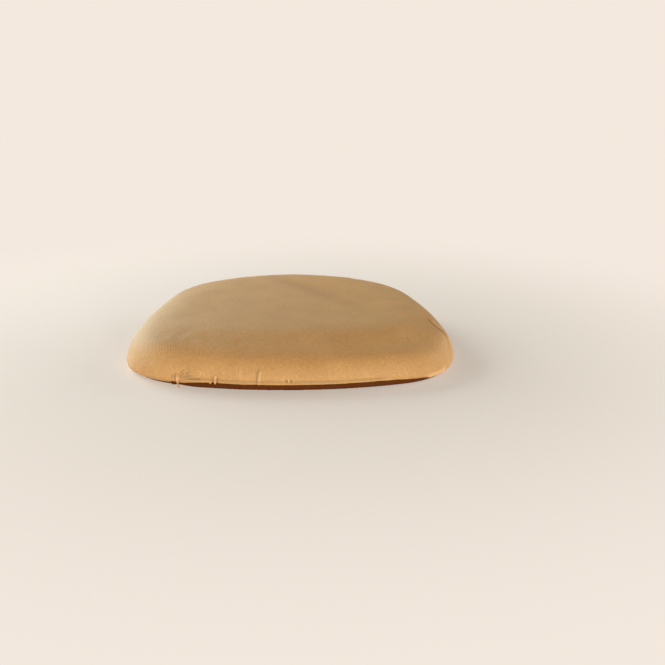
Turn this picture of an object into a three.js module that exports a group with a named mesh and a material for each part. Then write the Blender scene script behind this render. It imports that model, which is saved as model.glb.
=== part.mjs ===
// A seat cushion in its fitted stretch cover, for a banqueting chair: one filled solid.
//
// Millimetres, +Z up. The front edge faces -Y, +X is to the right as seen from the front,
// and the cushion rests on z = 0 with its middle over the origin.
import * as THREE from "three";

// Heights above the surface that the cushion rests on.
const WIDEST_HEIGHT = 7; // the cover is fullest here, just above the edge that turns under
const SHOULDER_HEIGHT = 44; // top of the rounded upper edge
const CROWN_RISE = 6; // further rise of the padded top towards its middle

// How far in from the fullest line the rounded edges reach.
const LOWER_EDGE_REACH = 14;
const UPPER_EDGE_REACH = 32;

// Right half of the outline, from the middle of the front edge round to the back, as arcs
// that run on smoothly. A last arc, centred on the midline, closes it at the back.
const OUTLINE_ARCS = [
  { name: "front", radius: 430, turn: 17, steps: 23 },
  { name: "front corner", radius: 87, turn: 75, steps: 22 },
  { name: "side", radius: 740, turn: 12, steps: 20 },
  { name: "back corner", radius: 152, turn: 44, steps: 14 },
];
const BACK_STEPS = 9;
const HALF_TURN = 180;

// Troughs where the cover is gathered, pleated or tucked. `along` runs round the fullest line
// from the middle of the front, positive to the right, and `up` runs from that line over the
// upper edge. Each trough goes from its first place to its second.
const FOLDS = [
  { name: "front gather", along: -129, up: -3, along2: -118, up2: 6, width: 8, depth: 2.2 },
  { name: "front pleat", along: -82, up: -3, along2: -81, up2: 6, width: 7, depth: 1.8 },
  { name: "front crease", along: -38, up: -3, along2: -36, up2: 16, width: 7, depth: 1.2 },
  { name: "right side tuck, low", along: 206, up: 12, along2: 226, up2: 31, width: 8, depth: 1.6 },
  { name: "right side tuck, high", along: 226, up: 31, along2: 254, up2: 45, width: 8, depth: 1.6 },
];

const LOWER_EDGE_STEPS = 3;
const UPPER_EDGE_STEPS = 10;
const CROWN_STEPS = 6;

const COVER_COLOR = 0xb8905c;
const COVER_ROUGHNESS = 0.9;

// Points round the right half, each with its outward direction and its distance along the line.
function rightHalfOutline() {
  const stations = [];
  const point = new THREE.Vector2(0, 0);
  let heading = 0;
  let along = 0;
  const outwardAt = (angle) => new THREE.Vector2(Math.sin(angle), -Math.cos(angle));
  const addArc = (radius, turn, steps) => {
    const centre = point.clone().addScaledVector(outwardAt(heading), -radius);
    for (let step = 1; step <= steps; step += 1) {
      const outward = outwardAt(heading + (turn * step) / steps);
      point.copy(centre).addScaledVector(outward, radius);
      along += (radius * turn) / steps;
      stations.push({ at: point.clone(), outward, along });
    }
    heading += turn;
  };

  stations.push({ at: point.clone(), outward: outwardAt(heading), along });
  for (const arc of OUTLINE_ARCS) {
    addArc(arc.radius, THREE.MathUtils.degToRad(arc.turn), arc.steps);
  }
  const closingTurn = THREE.MathUtils.degToRad(HALF_TURN) - heading;
  addArc(point.x / Math.sin(closingTurn), closingTurn, BACK_STEPS);
  return stations;
}

// The whole outline, anticlockwise from the middle of the front, centred on the origin.
function fullOutline() {
  const right = rightHalfOutline();
  const middle = new THREE.Vector2(0, right[right.length - 1].at.y / 2);
  const left = right.slice(1, -1).reverse().map(({ at, outward, along }) => ({
    at: new THREE.Vector2(-at.x, at.y),
    outward: new THREE.Vector2(-outward.x, outward.y),
    along: -along,
  }));
  const outline = [...right, ...left];
  for (const station of outline) {
    station.at.sub(middle);
  }
  return outline;
}

// Rings of the section from the underside, round both edges and over the crown. Each ring has
// its inset and height, the slope of its outward direction, and its share of the way inwards.
function sectionRings() {
  const rings = [];
  for (let step = 0; step <= LOWER_EDGE_STEPS; step += 1) {
    const angle = (step / LOWER_EDGE_STEPS) * (Math.PI / 2);
    rings.push({
      inset: LOWER_EDGE_REACH * (1 - Math.sin(angle)),
      height: WIDEST_HEIGHT * (1 - Math.cos(angle)),
      slope: angle - Math.PI / 2,
      crowned: false,
      scale: 1,
    });
  }
  for (let step = 1; step <= UPPER_EDGE_STEPS; step += 1) {
    const angle = (step / UPPER_EDGE_STEPS) * (Math.PI / 2);
    rings.push({
      inset: UPPER_EDGE_REACH * (1 - Math.cos(angle)),
      height: WIDEST_HEIGHT + (SHOULDER_HEIGHT - WIDEST_HEIGHT) * Math.sin(angle),
      slope: angle,
      crowned: true,
      scale: 1,
    });
  }
  for (let step = 1; step < CROWN_STEPS; step += 1) {
    rings.push({
      inset: UPPER_EDGE_REACH,
      height: SHOULDER_HEIGHT,
      slope: Math.PI / 2,
      crowned: true,
      scale: 1 - step / CROWN_STEPS,
    });
  }
  return rings;
}

function ringPoint(station, ring) {
  const flat = station.at.clone().addScaledVector(station.outward, -ring.inset).multiplyScalar(ring.scale);
  const share = flat.length() / station.at.length();
  const rise = ring.crowned ? CROWN_RISE * (1 - share * share) : 0;
  return new THREE.Vector3(flat.x, flat.y, ring.height + rise);
}

function foldDepth(along, up) {
  const place = new THREE.Vector3(along, up, 0);
  const nearest = new THREE.Vector3();
  let depth = 0;
  for (const fold of FOLDS) {
    const start = new THREE.Vector3(fold.along, fold.up, 0);
    const end = new THREE.Vector3(fold.along2, fold.up2, 0);
    new THREE.Line3(start, end).closestPointToPoint(place, true, nearest);
    const trough = fold.depth * (1 - THREE.MathUtils.smoothstep(nearest.distanceTo(place), 0, fold.width));
    depth = Math.max(depth, trough);
  }
  return depth;
}

// One line of points from the underside to near the middle of the top, with the folds sunk in.
function stationPoints(station, rings) {
  const smooth = rings.map((ring) => ringPoint(station, ring));
  let up = 0;
  const ups = smooth.map((point, i) => {
    up += i === 0 ? 0 : point.distanceTo(smooth[i - 1]);
    return up;
  });
  const widestUp = ups[LOWER_EDGE_STEPS];
  return smooth.map((point, i) => {
    const depth = foldDepth(station.along, ups[i] - widestUp);
    const { slope } = rings[i];
    const outward = new THREE.Vector3(
      station.outward.x * Math.cos(slope),
      station.outward.y * Math.cos(slope),
      Math.sin(slope),
    );
    return point.addScaledVector(outward, -depth);
  });
}

function cushionGeometry() {
  const outline = fullOutline();
  const rings = sectionRings();
  const lines = outline.map((station) => stationPoints(station, rings));
  const around = lines.length;
  const positions = [];
  for (const line of lines) {
    for (const point of line) {
      positions.push(point.x, point.y, point.z);
    }
  }
  const topMiddle = around * rings.length;
  positions.push(0, 0, SHOULDER_HEIGHT + CROWN_RISE);

  const indices = [];
  const index = (station, ring) => (station % around) * rings.length + ring;
  for (let i = 0; i < around; i += 1) {
    for (let ring = 0; ring < rings.length - 1; ring += 1) {
      const low = index(i, ring);
      const lowNext = index(i + 1, ring);
      const high = index(i, ring + 1);
      const highNext = index(i + 1, ring + 1);
      indices.push(low, lowNext, highNext);
      indices.push(low, highNext, high);
    }
    indices.push(index(i, rings.length - 1), index(i + 1, rings.length - 1), topMiddle);
  }

  const foot = lines.map((line) => new THREE.Vector2(line[0].x, line[0].y));
  for (const [a, b, c] of THREE.ShapeUtils.triangulateShape(foot, [])) {
    indices.push(index(a, 0), index(c, 0), index(b, 0));
  }

  const geometry = new THREE.BufferGeometry();
  geometry.setAttribute("position", new THREE.Float32BufferAttribute(positions, 3));
  geometry.setIndex(indices);
  geometry.computeVertexNormals();
  return geometry;
}

function makeCushion() {
  const cover = new THREE.MeshStandardMaterial({
    color: COVER_COLOR,
    roughness: COVER_ROUGHNESS,
    metalness: 0,
  });
  const cushion = new THREE.Mesh(cushionGeometry(), cover);
  cushion.name = "cushion";
  return cushion;
}

const seatCushion = new THREE.Group();
seatCushion.name = "seat_cushion_cover";
seatCushion.add(makeCushion());

export default seatCushion;
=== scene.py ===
# A seat cushion in its fitted cover of brushed stretch cloth, on a pale studio floor.
# Metres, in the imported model's frame: +Z up, the bowed front edge faces -Y.
import math

import bmesh
import bpy
import numpy as np
from mathutils import Matrix, Vector, geometry, kdtree


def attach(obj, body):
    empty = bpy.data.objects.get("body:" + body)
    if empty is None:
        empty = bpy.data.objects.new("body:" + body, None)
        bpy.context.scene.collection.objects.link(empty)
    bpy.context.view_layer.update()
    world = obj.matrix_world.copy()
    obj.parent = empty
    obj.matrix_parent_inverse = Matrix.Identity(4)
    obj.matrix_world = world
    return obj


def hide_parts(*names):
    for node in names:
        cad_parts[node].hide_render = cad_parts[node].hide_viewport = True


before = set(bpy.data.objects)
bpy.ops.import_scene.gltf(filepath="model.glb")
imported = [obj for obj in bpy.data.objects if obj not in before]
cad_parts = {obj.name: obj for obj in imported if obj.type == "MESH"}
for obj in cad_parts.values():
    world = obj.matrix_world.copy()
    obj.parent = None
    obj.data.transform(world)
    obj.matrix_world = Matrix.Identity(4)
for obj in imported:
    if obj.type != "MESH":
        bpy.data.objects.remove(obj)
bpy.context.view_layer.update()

MM = 0.001

# The cushion's section, as it was built: heights and reaches of its two rounded edges.
WIDEST_HEIGHT = 7 * MM
SHOULDER_HEIGHT = 44 * MM
LOWER_EDGE_REACH = 14 * MM
UPPER_EDGE_REACH = 32 * MM

# The camera stands in front of the cushion, a little above it, and looks slightly down.
CAMERA_PLACE = (-1.3 * MM, -1134 * MM, 344 * MM)
CAMERA_HEADING = math.radians(-2.62)
CAMERA_PITCH = math.radians(16.5)
CAMERA_ROLL = math.radians(0.4)
CAMERA_LENS = 51.4
CAMERA_SENSOR = 36.0

# Filling the slack cover.
WELD = 0.01 * MM  # corners closer than this are one
VOXEL = 5.0 * MM
EDGE_SLACK = 0.5 * MM
CROWN_SLACK = 5.0 * MM
CROWN_START = 28 * MM  # how far in from the rim the crown begins, and where it is full
CROWN_FULL = 90 * MM
SLACK_FADE = 2 * WIDEST_HEIGHT  # height above the foot by which all the slack has come in
HELD_BELOW = 0.5 * WIDEST_HEIGHT  # the foot is held fast below this, and the cloth is free above
FREE_ABOVE = 2.5 * WIDEST_HEIGHT
FILL_FRAMES = 20
MOST_SWELL = 9.0 * MM
CLOTH_THICKNESS = 0.9 * MM
STRETCH_CLOTH = {
    "quality": 6, "time_scale": 0.7, "mass": 1.0,
    "tension_stiffness": 60, "compression_stiffness": 60,
    "shear_stiffness": 40, "bending_stiffness": 8,
    "use_pressure": True, "uniform_pressure_force": 4.0,
}

# The crown is raised a little more, and all the added shaping fades out at the foot.
DOME_RISE = 0.8 * MM
DOME_START = 45 * MM
DOME_FULL = 185 * MM
FOOT_FADE = 1.5 * MM

# Places on the cover below are in millimetres: `along` runs round its fullest line from the
# middle of the front, positive to the right, and `up` runs from that line over the shoulder.

# Where the padding lies a little fuller or flatter than even.
FULLNESS = [
    {"name": "front shoulder, sloping", "along": 30, "up": 50,
     "long": 150, "tall": 26, "amount": -5.9},
    {"name": "right front corner, side", "along": 210, "up": 12,
     "long": 26, "tall": 16, "amount": -1.6},
    {"name": "front, low", "along": -10, "up": 2,
     "long": 130, "tall": 14, "amount": 2.4},
    {"name": "left front corner, low", "along": -200, "up": -2,
     "long": 34, "tall": 9, "amount": 1.8},
    {"name": "right front corner, shoulder", "along": 162, "up": 46,
     "long": 54, "tall": 25, "amount": -7.5},
    {"name": "right front corner, low", "along": 176, "up": -1,
     "long": 40, "tall": 9, "amount": 1.2},
    {"name": "left side, high", "along": -240, "up": 36,
     "long": 40, "tall": 15, "amount": -1.5},
    {"name": "back left shoulder", "along": -420, "up": 48,
     "long": 60, "tall": 18, "amount": 0.5},
    {"name": "right side, high", "along": 320, "up": 38,
     "long": 45, "tall": 15, "amount": 0.6},
]

# Ridges (height above 0) and troughs (below 0) in the cloth, each on its own short route.
# the heights also paint the cloth: a painted highlight on ridges and painted shade in troughs
RELIEF = [
    {"name": "hem roll", "width": 2.0, "height": 0.4, "fade": 12,
     "route": [(-124, 1.2), (-99, 0.9), (-80, 1.3), (-60, 0.7), (-20, 1.0), (20, 0.7),
               (70, 0.6), (112, 0)]},
    {"name": "sewn line above the hem", "width": 2.6, "height": -0.9, "fade": 12,
     "route": [(-120, 2.4), (-96, 2.5), (-62, 2.1), (-20, 2.3), (20, 2.1), (70, 2.2), (105, 2.0)]},
    {"name": "gather 1", "width": 1.1, "height": -1.05, "fade": 2,
     "route": [(-123.6, 3.4), (-120.5, 8), (-116, 12.5)]},
    {"name": "gather 2", "width": 1.1, "height": -1.25, "fade": 2,
     "route": [(-123, 2.4), (-118, 6.4), (-110.5, 9.6)]},
    {"name": "gather 3", "width": 1.1, "height": -1.2, "fade": 3,
     "route": [(-122.6, 1.4), (-116, 4.2), (-104, 6.4)]},
    {"name": "gather 4", "width": 1.1, "height": -1.1, "fade": 3,
     "route": [(-122.4, 0.3), (-112, 1.8), (-97, 3.2)]},
    {"name": "gather 5", "width": 1.2, "height": -1.5, "fade": 2,
     "route": [(-127.2, -2), (-127.2, 3), (-126.6, 7.5)]},
    {"name": "gather 6", "width": 1.1, "height": -1.2, "fade": 2,
     "route": [(-130, 0), (-129.8, 6)]},
    {"name": "gather 7", "width": 1.3, "height": -1.2, "fade": 3,
     "route": [(-131, -4), (-137, -5), (-143, -5)]},
    {"name": "knotted stitch", "width": 2.2, "height": 2.4, "fade": 2,
     "route": [(-124.9, -5), (-124.9, 1), (-124.6, 4)]},
    {"name": "faint pull 1", "width": 1.8, "height": 0.56, "fade": 3,
     "route": [(-97.7, 4.5), (-97.9, 13)]},
    {"name": "faint pull 2", "width": 1.8, "height": 0.56, "fade": 3,
     "route": [(-93.8, 4.5), (-94.4, 12)]},
    {"name": "thread nib", "width": 1.8, "height": 2.1, "fade": 1,
     "route": [(-87.4, -3.6), (-87.4, 0.6)]},
    {"name": "pleat", "width": 1.5, "height": 1.6, "fade": 2,
     "route": [(-82.2, -4.5), (-82, 2.5), (-81.4, 8.8)]},
    {"name": "pleat, left side", "width": 1.3, "height": -0.9, "fade": 2,
     "route": [(-84.5, -2), (-84.2, 6.5)]},
    {"name": "pleat, right side", "width": 1.3, "height": -0.9, "fade": 2,
     "route": [(-79.7, -2), (-79.4, 6.5)]},
    {"name": "faint pull 3", "width": 2.0, "height": 0.5, "fade": 5,
     "route": [(-55, 1), (-54.9, 19)]},
    {"name": "front crease", "width": 1.5, "height": -1.1, "fade": 7,
     "route": [(-38.4, -3), (-37.8, 5), (-36.2, 19)]},
    {"name": "front crease, lap", "width": 1.9, "height": 0.8, "fade": 5,
     "route": [(-35.6, -2), (-34.8, 6), (-33.6, 16)]},
    {"name": "nib in the hem", "width": 2.0, "height": 1.8, "fade": 1.5,
     "route": [(-37.4, -4), (-37.2, 0)]},
    {"name": "pinch, left", "width": 1.4, "height": -1.2, "fade": 1,
     "route": [(-5.8, 1.6), (-5.8, 5.4)]},
    {"name": "pinch", "width": 1.4, "height": 0.9, "fade": 1,
     "route": [(-3.6, 1), (-3.6, 6.4)]},
    {"name": "pinch, right", "width": 1.4, "height": -1.2, "fade": 1,
     "route": [(-1.5, 1.6), (-1.5, 5.4)]},
    {"name": "hem roll, right corner", "width": 4.6, "height": 1.3, "fade": 9,
     "route": [(148, -2.5), (158, -2.5), (168, -2), (177, -0.5), (185, 3)]},
    {"name": "side tuck", "width": 2.4, "height": -0.75, "fade": 5,
     "route": [(266, 48.5), (258, 46), (250, 43), (242, 35), (229, 28), (220, 20), (214, 11)]},
    {"name": "side tuck, lap", "width": 4.2, "height": 1.0, "fade": 8,
     "route": [(268, 44), (256, 40), (244, 31), (234, 24), (226, 16)]},
]

# How far the hem stands clear of the surface, over a foot set a little way in behind it.
HEM_CLEARANCE = [
    {"along": -235, "clear": 0}, {"along": -205, "clear": 1.6}, {"along": -150, "clear": 2.0},
    {"along": -134, "clear": 2.2}, {"along": -132, "clear": 4.0}, {"along": -128, "clear": 3.8},
    {"along": -126, "clear": 2.4}, {"along": -120, "clear": 3.2}, {"along": -104, "clear": 6},
    {"along": -90, "clear": 7}, {"along": 100, "clear": 7}, {"along": 132, "clear": 5},
    {"along": 160, "clear": 3}, {"along": 185, "clear": 1.5}, {"along": 205, "clear": 0},
]
LEAST_CLEARANCE = 0.5 * MM  # below this the cloth runs down to the surface unbroken
HEM_FADE = 1 * MM  # clearance by which the cut at the hem has its full effect
FOOT_INSET = 0.6 * MM
FOOT_SLOPE = 0.8 * MM  # how much further in the foot meets the surface than the hem's underside

# Making the mesh finer: how often, and by how much, the fresh cuts are eased into the curve.
EASE_PASSES = 2
EASE_SHARE = 0.5

# Zones of the cover whose mesh is made finer, one after the other, in millimetres.
FINE_ZONES = [
    {"name": "lower edge", "along": (-232, 212), "up": (-22, 6)},
    {"name": "front edge", "along": (-146, 140), "up": (6, 24)},
    {"name": "hem", "along": (-224, 204), "up": (-10, 3)},
    {"name": "front, above the hem", "along": (-140, 112), "up": (3, 10)},
    {"name": "side tuck", "along": (190, 280), "up": (-4, 60)},
]

# Loose ends of the thread that the front gathers are drawn up with, in millimetres.
THREAD_RADIUS = 0.4
THREAD_ENDS = [
    {"name": "long end",
     "places": [(-123.4, -173.0, 7.6), (-122.8, -174.6, 5.2), (-121.2, -175.8, 2.4),
                (-119.4, -177.4, 0.5)]},
    {"name": "short end",
     "places": [(-122.9, -173.2, 7.2), (-122.2, -174.6, 4.4), (-121.4, -175.6, 1.8),
                (-121.2, -177.0, 0.5)]},
    {"name": "frayed end",
     "places": [(-123.1, -173.1, 7.0), (-121.7, -174.5, 4.6), (-120.4, -175.4, 2.0),
                (-119.8, -176.2, 0.6)]},
]

# Pitches and grains of the patterns. A noise texture's scale is one over the size of its grain.
WAVE_TURN = math.pi / 10  # a wave texture's scale times its pitch
RIB_PITCH = 1.8 * MM  # from one stitch column to the next
ROW_PITCH = 1.2 * MM
BROAD_SCALE = 26  # cloudy changes in the nap, about 40 mm across
CLUMP_SCALE = 260  # the nap lies in clumps about 4 mm across
TUFT_SCALE = 620  # tufts of 1 to 2 mm, coarser than the single fibres so that they show
LOOP_SCALE = 700  # loops about 1.4 mm across, a little coarser than they are
TWIST_SCALE = 390  # one turn of the thread's twist to 0.8 mm
MOTTLE_SCALE = 3  # faint clouding of the paper, about 300 mm across

# How much each pattern counts in the knit's shade, and what the opened ribs add to that.
BROAD_SHARE = 0.4
CLUMP_SHARE = 0.42
TUFT_SHARE = 0.8
RIB_SHARE = 0.1
ROW_SHARE = 0.12
OPEN_RIB_SHARE = 0.6

DEEP_DYE = "#B6772E"
PALE_DYE = "#DC9D54"
RIGHT_BACK_SHADE_TINT = "#FFF6C6"  # painted shade over the dye: the right and back of the top, more golden and with less sheen
SHADOW_EDGE_TINT = "#E8D8B6"  # painted shade over the dye: a darker band along the edge of a shadow across the top
RIDGE_LIGHT_TINT = "#D2A47C"  # painted highlight: the paler, pinker tone of ridges and the hem's roll
GLANCE_TINT = "#81FFFF"  # the cool light that the nap's tips give back
SHEEN_TINT = "#FFCC94"
# painted shade: the dark browns of the turned-under cloth below the hem stand for the shadow under
# its lip
UNDER_SHADE_DARK = "#4A240C"
UNDER_SHADE_PALE = "#6B3A16"
THREAD_DARK = "#C08A55"
THREAD_PALE = "#E8BE8C"
PAPER_DARK = "#F3EADF"
PAPER_PALE = "#F7EEE4"
PALE_GROUND = "#F4E9DE"

# Places on the cloth that differ, as soft ovals on it seen from above, in millimetres. `firm` is
# how sharply an oval's edge comes up to its full effect.
# painted shade: the right and back of the top, tinted as where less light falls
SHADE_RIGHT_AND_BACK = [
    {"name": "right and back", "x": 125, "y": 70, "long": 200, "wide": 125,
     "turn": -60, "firm": 4.5, "effect": 1},
]
# painted shade: a darker band along the edge of a shadow across the top
SHADE_ALONG_SHADOW_EDGE = [
    {"name": "along the edge of a shadow", "x": 22, "y": 44, "long": 130, "wide": 24,
     "turn": -58, "firm": 1.1, "effect": 1},
]
OPEN_RIBS = [
    {"name": "left front corner", "x": -142, "y": -140, "long": 62, "wide": 34,
     "turn": -35, "firm": 1.3, "effect": 0.8},
    {"name": "middle", "x": -8, "y": -55, "long": 70, "wide": 45,
     "turn": 25, "firm": 1.3, "effect": 0.7},
]

# The studio, in metres. The paper reads as an even pale ground away from the cushion.
PAPER_WIDTH = 10.0
GLOW_START = 0.15  # distance from the cushion's middle at which the even ground begins to show
GLOW_FULL = 0.75
GLOW_NEAR = 0.4  # its share right beside the cushion
DIM_ROOM = 0.02  # how bright the world is for all but the camera

# Soft square lamps: `around` turns them from the front towards the right and `above` lifts them,
# in degrees, and `far` and `size` are in metres.
LAMPS = [
    {"name": "front low", "around": 13, "above": 4.6,
     "far": 1.9, "size": 0.3, "watts": 23.5, "color": "#FFFAEE"},
    {"name": "front right low", "around": 60, "above": 4.6,
     "far": 1.9, "size": 0.3, "watts": 7.5, "color": "#FFFAEE"},
    {"name": "front left low", "around": -60, "above": 12,
     "far": 1.9, "size": 0.9, "watts": 15.5, "color": "#FFFAEE"},
    {"name": "right side", "around": 112, "above": 20,
     "far": 2.1, "size": 1.3, "watts": 20, "color": "#FFFAEE"},
    {"name": "rear left", "around": 228, "above": 20,
     "far": 2.1, "size": 1.3, "watts": 60, "color": "#F8FFFF"},
]


def select_only(piece):
    bpy.ops.object.select_all(action="DESELECT")
    piece.select_set(True)
    bpy.context.view_layer.objects.active = piece


def read_points(mesh):
    co = np.empty(len(mesh.vertices) * 3)
    mesh.vertices.foreach_get("co", co)
    return co.reshape(-1, 3)


def write_points(mesh, points):
    mesh.vertices.foreach_set("co", np.asarray(points, float).ravel())
    mesh.update()


def read_normals(mesh):
    normals = np.empty(len(mesh.vertices) * 3)
    mesh.vertices.foreach_get("normal", normals)
    return normals.reshape(-1, 3)


def smoothstep(low, high, value):
    t = np.clip((value - low) / (high - low), 0, 1)
    return t * t * (3 - 2 * t)


# ---------------------------------------------------------------- camera

def add_camera():
    data = bpy.data.cameras.new("camera")
    data.lens = CAMERA_LENS
    data.sensor_width = CAMERA_SENSOR
    camera = bpy.data.objects.new("camera", data)
    bpy.context.scene.collection.objects.link(camera)
    turn = (
        Matrix.Rotation(CAMERA_HEADING, 4, "Z")
        @ Matrix.Rotation(math.pi / 2 - CAMERA_PITCH, 4, "X")
        @ Matrix.Rotation(CAMERA_ROLL, 4, "Z")
    )
    camera.matrix_world = Matrix.Translation(CAMERA_PLACE) @ turn
    bpy.context.scene.camera = camera


# ---------------------------------------------------------------- the cover's own directions

def edge_girth(reach, height):
    """A quarter ellipse, as a table of its parameter and the distance round it."""
    angle = np.linspace(0, math.pi / 2, 200)
    speed = np.hypot(reach * np.sin(angle), height * np.cos(angle))
    girth = np.concatenate([[0], np.cumsum((speed[1:] + speed[:-1]) / 2 * np.diff(angle))])
    return angle, girth


UPPER_ANGLE, UPPER_GIRTH = edge_girth(UPPER_EDGE_REACH, SHOULDER_HEIGHT - WIDEST_HEIGHT)
LOWER_ANGLE, LOWER_GIRTH = edge_girth(LOWER_EDGE_REACH, WIDEST_HEIGHT)


class Rim:
    """The cover's fullest line seen from above, anticlockwise from the middle of the front."""

    STEP = 1 * MM
    SMOOTHING = 6  # steps to each side that a direction is taken over

    def __init__(self, points):
        flat = [Vector(p[:2]) for p in points]
        corners = np.array([flat[i] for i in geometry.convex_hull_2d(flat)])
        after = np.roll(corners, -1, axis=0)
        if np.sum(corners[:, 0] * after[:, 1] - after[:, 0] * corners[:, 1]) < 0:
            corners = corners[::-1]
        closed = np.vstack([corners, corners[:1]])
        reached = np.concatenate([[0], np.cumsum(np.linalg.norm(np.diff(closed, axis=0), axis=1))])
        self.length = reached[-1]
        count = int(round(self.length / self.STEP))
        self.along = np.arange(count) / count * self.length
        line = np.column_stack([np.interp(self.along, reached, closed[:, k]) for k in (0, 1)])
        front_middle = np.argmin(np.abs(line[:, 0]) + (line[:, 1] > 0))
        line = np.roll(line, -front_middle, axis=0)
        tangent = np.roll(line, -self.SMOOTHING, axis=0) - np.roll(line, self.SMOOTHING, axis=0)
        normal = np.column_stack([tangent[:, 1], -tangent[:, 0]])
        self.line = line
        self.normal = normal / np.linalg.norm(normal, axis=1)[:, None]
        self.tree = kdtree.KDTree(count)
        for i, (x, y) in enumerate(line):
            self.tree.insert((x, y, 0), i)
        self.tree.balance()

    def locate(self, points):
        """Each point's distance along the line, its inset, and the outward direction there."""
        nearest = np.array([self.tree.find((x, y, 0))[1] for x, y, _ in points])
        offset = points[:, :2] - self.line[nearest]
        normal = self.normal[nearest]
        slide = offset[:, 1] * normal[:, 0] - offset[:, 0] * normal[:, 1]
        along = self.along[nearest] + np.clip(slide, -self.STEP, self.STEP)
        around = np.mod(along, self.length)
        wrapped = np.append(self.along, self.length)
        outward = np.column_stack([
            np.interp(around, wrapped, np.append(self.normal[:, k], self.normal[0, k]))
            for k in (0, 1)
        ])
        inset = -np.sum(offset * outward, axis=1)
        return np.where(along > self.length / 2, along - self.length, along), inset, outward


def distance_up(inset, height):
    """Distance over the cover from its fullest line: upwards over the shoulder, negative below."""
    upper = np.arctan2(
        np.maximum(height - WIDEST_HEIGHT, 0) / (SHOULDER_HEIGHT - WIDEST_HEIGHT),
        np.maximum(UPPER_EDGE_REACH - inset, 0) / UPPER_EDGE_REACH,
    )
    lower = np.arctan2(
        np.maximum(WIDEST_HEIGHT - height, 0) / WIDEST_HEIGHT,
        np.maximum(LOWER_EDGE_REACH - inset, 0) / LOWER_EDGE_REACH,
    )
    over = np.interp(upper, UPPER_ANGLE, UPPER_GIRTH) + np.maximum(inset - UPPER_EDGE_REACH, 0)
    under = np.interp(lower, LOWER_ANGLE, LOWER_GIRTH) + np.maximum(inset - LOWER_EDGE_REACH, 0)
    return np.where(height >= WIDEST_HEIGHT, over, -under)


# ---------------------------------------------------------------- filling the cover

def slack_cover():
    """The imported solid's shape as a fresh closed mesh, a little slack all over but at its foot."""
    cover = bpy.data.objects.new("filled_cover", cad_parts["cushion"].data.copy())
    bpy.context.scene.collection.objects.link(cover)
    cover.data.materials.clear()
    select_only(cover)
    bpy.ops.object.mode_set(mode="EDIT")
    bpy.ops.mesh.select_all(action="SELECT")
    bpy.ops.mesh.remove_doubles(threshold=WELD)
    bpy.ops.mesh.normals_make_consistent(inside=False)
    bpy.ops.object.mode_set(mode="OBJECT")
    remesh = cover.modifiers.new("even_mesh", "REMESH")
    remesh.mode = "VOXEL"
    remesh.voxel_size = VOXEL
    bpy.ops.object.modifier_apply(modifier=remesh.name)
    points = read_points(cover.data)
    _, inset, _ = Rim(points).locate(points)
    upper = smoothstep(0, SLACK_FADE, points[:, 2])
    crown = smoothstep(CROWN_START, CROWN_FULL, inset)
    slack = upper * (EDGE_SLACK + (CROWN_SLACK - EDGE_SLACK) * crown)
    write_points(cover.data, points - read_normals(cover.data) * slack[:, None])
    return cover


def fill_cover(cover):
    """Blows the slack cover up over its held foot, and caps how far it may swell."""
    slack = read_points(cover.data)
    held = cover.vertex_groups.new(name="held_foot")
    weight = 1 - smoothstep(HELD_BELOW, FREE_ABOVE, slack[:, 2])
    for index in np.nonzero(weight > 0)[0]:
        held.add([int(index)], float(weight[index]), "REPLACE")
    filling = cover.modifiers.new("filling", "CLOTH")
    settings = filling.settings
    for name, value in STRETCH_CLOTH.items():
        setattr(settings, name, value)
    settings.vertex_group_mass = held.name
    settings.effector_weights.gravity = 0
    filling.collision_settings.use_collision = False
    filling.point_cache.frame_start = 1
    filling.point_cache.frame_end = FILL_FRAMES
    for step in range(1, FILL_FRAMES + 1):
        bpy.context.scene.frame_set(step)
    filled = cover.evaluated_get(bpy.context.evaluated_depsgraph_get()).to_mesh()
    swell = read_points(filled) - slack
    cover.modifiers.remove(filling)
    cover.vertex_groups.clear()
    bpy.context.scene.frame_set(1)
    reach = np.maximum(np.linalg.norm(swell, axis=1), 1e-9)
    eased = MOST_SWELL * np.tanh(reach / MOST_SWELL) / reach
    write_points(cover.data, slack + swell * eased[:, None])


def round_off(cover):
    """Subdivides the filled cover once, and gives it the thickness of its cloth."""
    rounding = cover.modifiers.new("rounding", "SUBSURF")
    rounding.levels = 1
    rounding.render_levels = 1
    select_only(cover)
    bpy.ops.object.modifier_apply(modifier=rounding.name)
    points = read_points(cover.data)
    upper = smoothstep(0, WIDEST_HEIGHT, points[:, 2])
    points += read_normals(cover.data) * (CLOTH_THICKNESS * upper)[:, None]
    points[:, 2] = np.maximum(points[:, 2], 0)
    write_points(cover.data, points)


def refine(cover, rim):
    """Cuts the faces of the detailed zones finer, and eases the cuts into the curve."""
    for zone in FINE_ZONES:
        mesh = bmesh.new()
        mesh.from_mesh(cover.data)
        points = np.array([v.co for v in mesh.verts])
        along, inset, _ = rim.locate(points)
        up = distance_up(inset, points[:, 2])
        inside = (
            (along > zone["along"][0] * MM) & (along < zone["along"][1] * MM)
            & (up > zone["up"][0] * MM) & (up < zone["up"][1] * MM)
        )
        edges = [e for e in mesh.edges if inside[e.verts[0].index] and inside[e.verts[1].index]]
        cut = bmesh.ops.subdivide_edges(mesh, edges=edges, cuts=1, use_grid_fill=True)
        fresh = [v for v in cut["geom_inner"] if isinstance(v, bmesh.types.BMVert)]
        for _ in range(EASE_PASSES):
            bmesh.ops.smooth_vert(
                mesh, verts=fresh, factor=EASE_SHARE,
                use_axis_x=True, use_axis_y=True, use_axis_z=True,
            )
        mesh.to_mesh(cover.data)
        mesh.free()


# ---------------------------------------------------------------- shape from the tables

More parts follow.
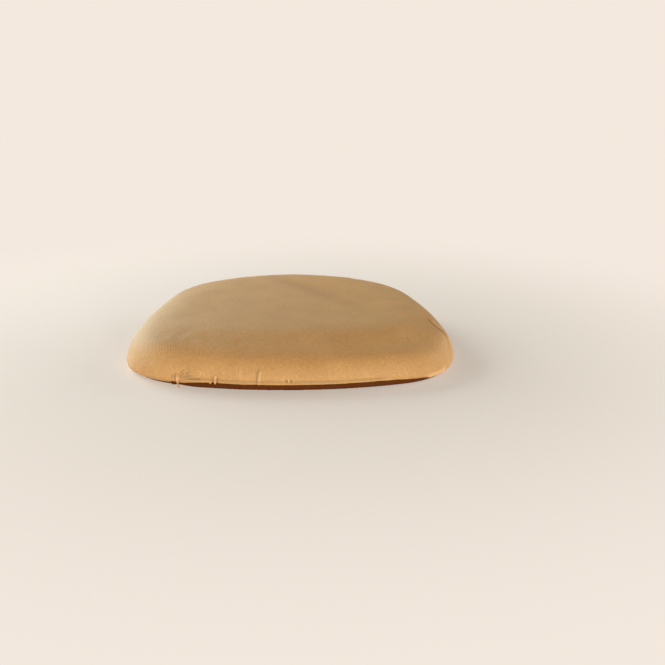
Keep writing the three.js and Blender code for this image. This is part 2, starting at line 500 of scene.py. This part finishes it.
def ease_fullness(cover, rim):
    """Raises the crown, and lets the padding out or in where FULLNESS says."""
    points = read_points(cover.data)
    along, inset, _ = rim.locate(points)
    up = distance_up(inset, points[:, 2])
    on_top = points[:, 2] > SHOULDER_HEIGHT / 2
    amount = DOME_RISE * smoothstep(DOME_START, DOME_FULL, inset) * on_top
    for row in FULLNESS:
        far_along = (along / MM - row["along"]) / row["long"]
        far_up = (up / MM - row["up"]) / row["tall"]
        amount += row["amount"] * MM * np.exp(-(far_along**2 + far_up**2))
    foot = smoothstep(0, FOOT_FADE, points[:, 2])
    write_points(cover.data, points + read_normals(cover.data) * (amount * foot)[:, None])


def route_distance(along, up, route):
    """Distance from a route over the cover, and how far along the route the nearest place is."""
    near = np.full(len(along), np.inf)
    reached = np.zeros(len(along))
    start = 0.0
    for (a0, u0), (a1, u1) in zip(route, route[1:]):
        step = math.hypot(a1 - a0, u1 - u0)
        share = np.clip(((along - a0) * (a1 - a0) + (up - u0) * (u1 - u0)) / step**2, 0, 1)
        far = np.hypot(along - a0 - share * (a1 - a0), up - u0 - share * (u1 - u0))
        reached = np.where(far < near, start + share * step, reached)
        near = np.minimum(far, near)
        start += step
    return near, reached, start


def press_relief(cover, rim):
    """Presses the gathers, pleats, creases and the hem's roll into the cloth."""
    points = read_points(cover.data)
    along, inset, _ = rim.locate(points)
    up = distance_up(inset, points[:, 2]) / MM
    along = along / MM
    height = np.zeros(len(points))
    for row in RELIEF:
        near, reached, length = route_distance(along, up, row["route"])
        bell = np.clip(1 - (near / row["width"]) ** 2, 0, 1) ** 2
        ends = smoothstep(0, row["fade"], reached) * smoothstep(0, row["fade"], length - reached)
        height += row["height"] * bell * ends
    write_points(cover.data, points + read_normals(cover.data) * (height * MM)[:, None])
    # the heights are kept for the knit's painted highlight on ridges and painted shade in troughs
    layer = cover.data.attributes.new(name="raised", type="FLOAT", domain="POINT")
    layer.data.foreach_set("value", height)


def set_hem(cover, rim):
    """Cuts the lower edge off at the hem, and drops the turned-under cloth to the surface."""
    points = read_points(cover.data)
    along, inset, _ = rim.locate(points)
    up = distance_up(inset, points[:, 2])
    places = [row["along"] * MM for row in HEM_CLEARANCE]
    clear = np.interp(along, places, [row["clear"] * MM for row in HEM_CLEARANCE])
    hem_inset = LOWER_EDGE_REACH * (1 - np.sqrt(1 - (1 - clear / WIDEST_HEIGHT) ** 2)) + FOOT_INSET
    share = smoothstep(0, HEM_FADE, clear) * (up < 0)
    under = (up < 0) & (inset > hem_inset) & (clear > LEAST_CLEARANCE)
    # the turned-under cloth takes the second material, dark brown painted shade under the lip
    for polygon in cover.data.polygons:
        polygon.material_index = int(any(under[i] for i in polygon.vertices))
    drop = np.clip(1 - (inset - hem_inset) / FOOT_SLOPE, 0, 1)
    raised = np.maximum(points[:, 2], clear)
    points[:, 2] += share * (raised * drop - points[:, 2])
    write_points(cover.data, points)


def add_thread_ends():
    """Three loose ends of thread, hanging from the knotted stitch down to the surface."""
    curve = bpy.data.curves.new("thread_ends", "CURVE")
    curve.dimensions = "3D"
    curve.bevel_depth = THREAD_RADIUS * MM
    curve.bevel_resolution = 2
    curve.resolution_u = 6
    curve.use_fill_caps = True
    for row in THREAD_ENDS:
        strand = curve.splines.new("NURBS")
        strand.points.add(len(row["places"]) - 1)
        for point, place in zip(strand.points, row["places"]):
            point.co = (*[v * MM for v in place], 1)
        strand.order_u = 3
        strand.use_endpoint_u = True
    thread = bpy.data.objects.new("thread_ends", curve)
    bpy.context.scene.collection.objects.link(thread)
    select_only(thread)
    bpy.ops.object.convert(target="MESH")
    bpy.ops.object.shade_smooth()
    thread = bpy.context.view_layer.objects.active
    thread.data.materials.append(sewing_thread())
    return thread


def unfold(cover, rim):
    """Maps the cloth laid flat, in metres: the top as it lies, the edge folded out round it."""
    points = read_points(cover.data)
    along, inset, outward = rim.locate(points)
    up = distance_up(inset, points[:, 2])
    over_edge = np.maximum(UPPER_GIRTH[-1] - up, 0)
    shoulder = points[:, :2] - outward * np.maximum(UPPER_EDGE_REACH - inset, 0)[:, None]
    folded_out = shoulder + outward * over_edge[:, None]
    flat = np.where((up < UPPER_GIRTH[-1])[:, None], folded_out, points[:, :2])
    under = (inset > LOWER_EDGE_REACH) & (points[:, 2] < WIDEST_HEIGHT)
    flat[under] = points[under, :2]
    corners = np.empty(len(cover.data.loops), dtype=np.int32)
    cover.data.loops.foreach_get("vertex_index", corners)
    layer = cover.data.uv_layers.new(name="cloth")
    layer.data.foreach_set("uv", flat[corners].ravel())


# ---------------------------------------------------------------- materials

def linear(code):
    """A six-figure sRGB colour, turned linear."""
    parts = [int(code[i:i + 2], 16) / 255 for i in (1, 3, 5)]
    parts = [c / 12.92 if c <= 0.04045 else ((c + 0.055) / 1.055) ** 2.4 for c in parts]
    return (*parts, 1.0)


def node(tree, kind, inputs, **settings):
    """Adds a node with its settings, its values and its links."""
    made = tree.nodes.new("ShaderNode" + kind)
    for name, value in settings.items():
        setattr(made, name, value)
    for socket, value in inputs.items():
        if isinstance(value, bpy.types.NodeSocket):
            tree.links.new(value, made.inputs[socket])
        else:
            made.inputs[socket].default_value = value
    return made


def fresh_material(name):
    material = bpy.data.materials.new(name)
    material.use_nodes = True
    tree = material.node_tree
    tree.nodes.clear()
    return material, tree


def ovals(tree, cloth, rows):
    """The sum of soft oval patches on the cloth."""
    total = 0.0
    for row in rows:
        turned = node(tree, "Mapping", {
            "Vector": cloth, "Location": (row["x"] * MM, row["y"] * MM, 0),
            "Rotation": (0, 0, math.radians(row["turn"])),
            "Scale": (row["long"] * MM, row["wide"] * MM, 1),
        }, vector_type="TEXTURE").outputs["Vector"]
        hill = node(tree, "TexGradient", {"Vector": turned}, gradient_type="SPHERICAL")
        patch = node(tree, "Math", {
            0: hill.outputs["Fac"], 1: row["firm"],
        }, operation="MULTIPLY", use_clamp=True).outputs[0]
        total = node(tree, "Math", {
            0: patch, 1: row["effect"], 2: total,
        }, operation="MULTIPLY_ADD").outputs[0]
    return total


def brushed_stretch_knit():
    """Raised fibres scatter the light softly and pale the cloth where it is seen aslant.

    Faint ribs, one to a stitch column, run from the back of the cushion to the front, crossed by
    finer rows, and show more where the cloth is stretched. Shade is painted into the dye: darker
    and more golden over the right and back of the top, darker in a warm band along a shadow's edge
    across it, and in troughs; ridges and the hem's roll carry a painted highlight.
    """
    material, tree = fresh_material("brushed stretch knit, piece-dyed")
    cloth = node(tree, "UVMap", {}, uv_map="cloth").outputs["UV"]
    broad = node(tree, "TexNoise", {"Vector": cloth, "Scale": BROAD_SCALE, "Detail": 3})
    clumps = node(tree, "TexNoise", {"Vector": cloth, "Scale": CLUMP_SCALE, "Detail": 2})
    tufts = node(tree, "TexNoise", {"Vector": cloth, "Scale": TUFT_SCALE, "Detail": 3})
    ribs = node(tree, "TexWave", {
        "Vector": cloth, "Scale": WAVE_TURN / RIB_PITCH,
        "Distortion": 3.0, "Detail": 2, "Detail Scale": 60,
    })
    rows = node(tree, "TexWave", {
        "Vector": cloth, "Scale": WAVE_TURN / ROW_PITCH,
        "Distortion": 2.5, "Detail": 2, "Detail Scale": 60,
    }, bands_direction="Y")

    shade = 0.5
    shares = [
        (broad, BROAD_SHARE), (clumps, CLUMP_SHARE), (tufts, TUFT_SHARE),
        (ribs, RIB_SHARE), (rows, ROW_SHARE),
    ]
    for pattern, share in shares:
        centred = node(tree, "Math", {
            0: pattern.outputs["Fac"], 1: 0.5,
        }, operation="SUBTRACT").outputs[0]
        shade = node(tree, "Math", {
            0: centred, 1: share, 2: shade,
        }, operation="MULTIPLY_ADD").outputs[0]
    opened = node(tree, "Math", {0: ribs.outputs["Fac"], 1: 0.5}, operation="SUBTRACT").outputs[0]
    opened = node(tree, "Math", {
        0: opened, 1: ovals(tree, cloth, OPEN_RIBS),
    }, operation="MULTIPLY").outputs[0]
    shade = node(tree, "Math", {
        0: opened, 1: OPEN_RIB_SHARE, 2: shade,
    }, operation="MULTIPLY_ADD").outputs[0]
    dye = node(tree, "ValToRGB", {"Fac": shade})
    ramp = dye.color_ramp.elements
    ramp[0].position, ramp[0].color = 0.2, linear(DEEP_DYE)
    ramp[1].position, ramp[1].color = 0.8, linear(PALE_DYE)

    # painted shade: the dye is multiplied darker over the right and back of the top, and along a
    # shadow's edge
    right_back_shade = ovals(tree, cloth, SHADE_RIGHT_AND_BACK)
    shadow_edge_shade = ovals(tree, cloth, SHADE_ALONG_SHADOW_EDGE)
    shaded_right_back = node(tree, "Mix", {
        "Factor": right_back_shade, "A": dye.outputs["Color"], "B": linear(RIGHT_BACK_SHADE_TINT),
    }, data_type="RGBA", blend_type="MULTIPLY")
    shaded_at_edge = node(tree, "Mix", {
        "Factor": shadow_edge_shade, "A": shaded_right_back.outputs["Result"], "B": linear(SHADOW_EDGE_TINT),
    }, data_type="RGBA", blend_type="MULTIPLY")

    # painted light: ridges and the hem's roll are painted paler and brighter, troughs painted darker
    # as shade
    raised = node(tree, "Attribute", {}, attribute_name="raised").outputs["Fac"]
    ridge_highlight_share = node(tree, "MapRange", {
        "Value": raised, "From Min": 0.1, "From Max": 0.9, "To Max": 0.55,
    })
    paler = node(tree, "Mix", {
        "Factor": ridge_highlight_share.outputs["Result"], "A": shaded_at_edge.outputs["Result"],
        "B": linear(RIDGE_LIGHT_TINT),
    }, data_type="RGBA")
    relief_shading = node(tree, "MapRange", {
        "Value": raised, "From Min": -1.5, "From Max": 1.5, "To Min": 0.6, "To Max": 1.4,
    })
    dyed = node(tree, "VectorMath", {
        0: paler.outputs["Result"], "Scale": relief_shading.outputs["Result"],
    }, operation="SCALE").outputs["Vector"]

    # roughness follows the tufts, and is a little higher over the painted-shade patches
    rough = node(tree, "MapRange", {
        "Value": tufts.outputs["Fac"], "From Min": 0.3, "From Max": 0.7,
        "To Min": 0.71, "To Max": 0.81,
    }).outputs["Result"]
    for patch, added in [(right_back_shade, 0.12), (shadow_edge_shade, 0.1)]:
        rough = node(tree, "Math", {
            0: patch, 1: added, 2: rough,
        }, operation="MULTIPLY_ADD").outputs[0]
    relief = node(tree, "Math", {
        0: ribs.outputs["Fac"], 1: 0.25, 2: tufts.outputs["Fac"],
    }, operation="MULTIPLY_ADD").outputs[0]
    bump = node(tree, "Bump", {"Height": relief, "Strength": 0.6, "Distance": 0.4 * MM})
    shader = node(tree, "BsdfPrincipled", {
        "Base Color": dyed, "Roughness": rough, "Normal": bump.outputs["Normal"],
        "Specular IOR Level": 1.0, "IOR": 1.65, "Specular Tint": linear(GLANCE_TINT),
        "Sheen Weight": 0.226, "Sheen Roughness": 0.5, "Sheen Tint": linear(SHEEN_TINT),
    })
    node(tree, "OutputMaterial", {"Surface": shader.outputs["BSDF"]})
    return material


def shaded_turned_cloth():
    """Painted shade: the turned-under cloth below the hem, its loopy knit back dark brown, reads as
    the shadow line under the lip.
    """
    material, tree = fresh_material("turned-under cloth, painted shade")
    cloth = node(tree, "UVMap", {}, uv_map="cloth").outputs["UV"]
    loops = node(tree, "TexNoise", {"Vector": cloth, "Scale": LOOP_SCALE, "Detail": 2})
    color = node(tree, "Mix", {
        "Factor": loops.outputs["Fac"], "A": linear(UNDER_SHADE_DARK), "B": linear(UNDER_SHADE_PALE),
    }, data_type="RGBA")
    shader = node(tree, "BsdfPrincipled", {
        "Base Color": color.outputs["Result"], "Roughness": 0.95, "Specular IOR Level": 0.1,
    })
    node(tree, "OutputMaterial", {"Surface": shader.outputs["BSDF"]})
    return material


def sewing_thread():
    """Two hard-twisted plies, paler than the cloth, which give it a fine slanting glint."""
    material, tree = fresh_material("spun polyester sewing thread, two-ply")
    place = node(tree, "TexCoord", {}).outputs["Object"]
    twist = node(tree, "TexWave", {
        "Vector": place, "Scale": TWIST_SCALE, "Distortion": 0.5,
    }, bands_direction="DIAGONAL").outputs["Fac"]
    color = node(tree, "Mix", {
        "Factor": twist, "A": linear(THREAD_DARK), "B": linear(THREAD_PALE),
    }, data_type="RGBA")
    bump = node(tree, "Bump", {"Height": twist, "Strength": 0.5, "Distance": 0.1 * MM})
    shader = node(tree, "BsdfPrincipled", {
        "Base Color": color.outputs["Result"], "Roughness": 0.6,
        "Normal": bump.outputs["Normal"],
    })
    node(tree, "OutputMaterial", {"Surface": shader.outputs["BSDF"]})
    return material


def matt_paper():
    """Plain paper off a wide roll: even and matt, so that nothing shows but a soft shadow."""
    material, tree = fresh_material("matt studio paper, rolled")
    place = node(tree, "TexCoord", {}).outputs["Object"]
    mottle = node(tree, "TexNoise", {"Vector": place, "Scale": MOTTLE_SCALE, "Detail": 2})
    color = node(tree, "Mix", {
        "Factor": mottle.outputs["Fac"], "A": linear(PAPER_DARK), "B": linear(PAPER_PALE),
    }, data_type="RGBA")
    paper = node(tree, "BsdfPrincipled", {
        "Base Color": color.outputs["Result"], "Roughness": 0.9, "Specular IOR Level": 0.1,
    })
    # away from the cushion the camera sees it as an even pale ground
    glow = node(tree, "Emission", {"Color": linear(PALE_GROUND), "Strength": 1.0})
    away = node(tree, "VectorMath", {0: place}, operation="LENGTH").outputs["Value"]
    far = node(tree, "MapRange", {
        "Value": away, "From Min": GLOW_START, "From Max": GLOW_FULL, "To Min": GLOW_NEAR,
    }, interpolation_type="SMOOTHSTEP")
    seen = node(tree, "LightPath", {}).outputs["Is Camera Ray"]
    share = node(tree, "Math", {
        0: far.outputs["Result"], 1: seen,
    }, operation="MULTIPLY").outputs[0]
    mixed = node(tree, "MixShader", {
        0: share, 1: paper.outputs["BSDF"], 2: glow.outputs["Emission"],
    })
    node(tree, "OutputMaterial", {"Surface": mixed.outputs["Shader"]})
    return material


# ---------------------------------------------------------------- studio

def add_lamp(row):
    """A square soft lamp at its place on a sphere round the cushion, facing its middle."""
    data = bpy.data.lights.new(row["name"], "AREA")
    data.size = row["size"]
    data.energy = row["watts"]
    data.color = linear(row["color"])[:3]
    lamp = bpy.data.objects.new(row["name"], data)
    lamp.visible_camera = False
    bpy.context.scene.collection.objects.link(lamp)
    around, above = math.radians(row["around"]), math.radians(row["above"])
    level = math.cos(above)
    place = Vector((math.sin(around) * level, -math.cos(around) * level, math.sin(above)))
    facing = place.to_track_quat("Z", "Y").to_matrix().to_4x4()
    lamp.matrix_world = Matrix.Translation(place * row["far"]) @ facing


def add_stage():
    bpy.ops.object.select_all(action="DESELECT")
    bpy.ops.mesh.primitive_plane_add(size=PAPER_WIDTH, location=(0, 0, 0))
    paper = bpy.context.active_object
    paper.name = "studio_paper"
    paper.data.materials.append(matt_paper())


def add_world():
    """A dim room, which the camera alone sees as the pale ground carried on."""
    world = bpy.data.worlds.new("dim_room")
    bpy.context.scene.world = world
    world.use_nodes = True
    tree = world.node_tree
    tree.nodes.clear()
    seen = node(tree, "LightPath", {}).outputs["Is Camera Ray"]
    strength = node(tree, "MapRange", {"Value": seen, "To Min": DIM_ROOM, "To Max": 1.0})
    ground = node(tree, "Background", {
        "Color": linear(PALE_GROUND), "Strength": strength.outputs["Result"],
    })
    node(tree, "OutputWorld", {"Surface": ground.outputs["Background"]})


# ---------------------------------------------------------------- the whole

def build_cover():
    """The cover, from its slack shape to its last gather."""
    cover = slack_cover()
    fill_cover(cover)
    round_off(cover)
    rim = Rim(read_points(cover.data))
    ease_fullness(cover, rim)
    refine(cover, rim)
    unfold(cover, rim)
    set_hem(cover, rim)
    press_relief(cover, rim)
    for polygon in cover.data.polygons:
        polygon.use_smooth = True
    return cover


add_camera()
cover = build_cover()
# the knit's colour carries painted shade and painted highlight
cover.data.materials.append(brushed_stretch_knit())
# painted shade: the dark turned-under cloth under the hem
cover.data.materials.append(shaded_turned_cloth())
add_stage()
add_world()
for row in LAMPS:
    add_lamp(row)
bpy.context.scene.view_settings.view_transform = "Standard"

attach(cover, "root")
thread = add_thread_ends()
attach(thread, "root")
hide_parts("cushion")
